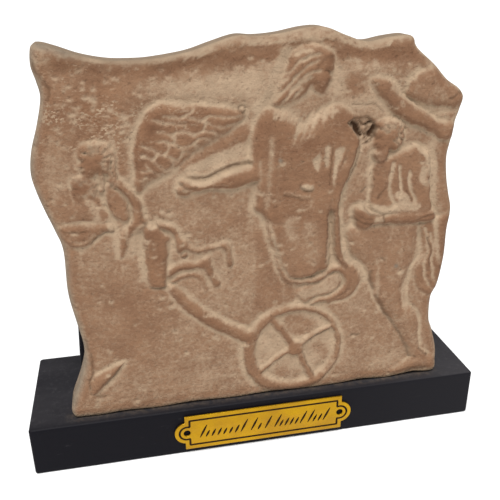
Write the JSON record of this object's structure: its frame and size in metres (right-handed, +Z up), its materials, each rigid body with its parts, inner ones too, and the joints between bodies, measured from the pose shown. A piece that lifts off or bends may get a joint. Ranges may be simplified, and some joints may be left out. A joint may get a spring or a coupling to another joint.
{
  "type": "terracotta relief tablet",
  "caption": "Upright fired clay tablet with carved figures and a chariot wheel, on a black plinth with a back board and a gilt nameplate.",
  "frame": {"origin": "middle of the plinth's underside", "axes": "+X along the plinth to the viewer's right, -Y out of the carved face, +Z up"},
  "size_m": [0.2, 0.0571, 0.1777],
  "materials": {
    "fired_clay": "matt fired clay with a pale wash in its hollows",
    "black_paint": "satin black paint on wood",
    "gilt_metal": "gilt with a dark printed line"
  },
  "bodies": {
    "root": {"relief_tablet": "fired_clay", "plinth": "black_paint", "back_board": "black_paint", "nameplate": "gilt_metal"}
  },
  "joints": []
}
